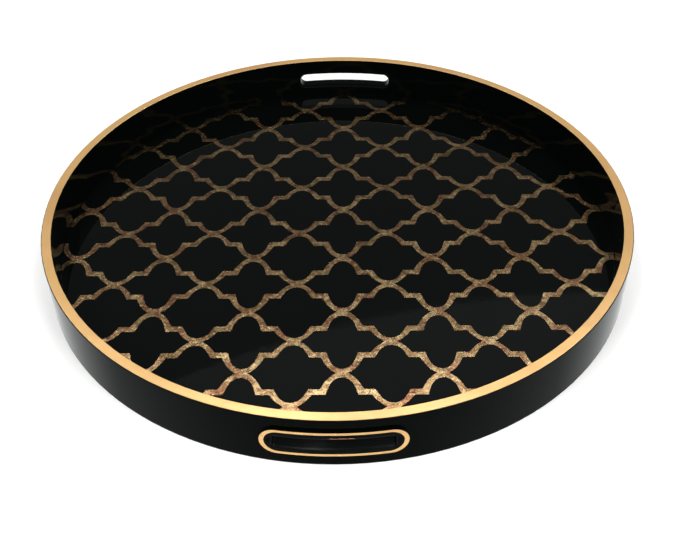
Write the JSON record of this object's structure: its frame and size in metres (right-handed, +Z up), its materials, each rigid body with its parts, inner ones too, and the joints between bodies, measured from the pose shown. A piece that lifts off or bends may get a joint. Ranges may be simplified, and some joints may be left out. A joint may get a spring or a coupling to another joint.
{
  "type": "serving tray",
  "caption": "Round serving tray with a low black lacquered wall, finger slots front and back, gilded rim and slot edging, and a gold quatrefoil trellis on the floor.",
  "frame": {"origin": "centre of the foot ring the tray stands on, on the table plane", "axes": "+Z up out of the open well; -Y towards the front finger slot, +Y towards the back one; +X to the right seen from the front"},
  "size_m": [0.4064, 0.4106, 0.0381],
  "materials": {
    "lacquer_wall": "high-gloss black lacquer on bent fibreboard",
    "lacquer_board": "black lacquered fibreboard, satin underside",
    "floor_lacquer": "polished black laminate",
    "bezel_lacquer": "high-gloss black",
    "gilt_rim": "satin gold",
    "gilt_edging": "satin gold",
    "gold_leaf": "mottled antique gold leaf under clear lacquer"
  },
  "bodies": {
    "root": {"wall_ring": "lacquer_wall", "rim_band": "gilt_rim", "floor_board": "lacquer_board", "floor_sheet": "floor_lacquer", "lattice_foil": "gold_leaf", "slot_bezel_front": "bezel_lacquer", "slot_bezel_rear": "bezel_lacquer", "slot_edging_front": "gilt_edging", "slot_edging_rear": "gilt_edging"}
  },
  "joints": []
}
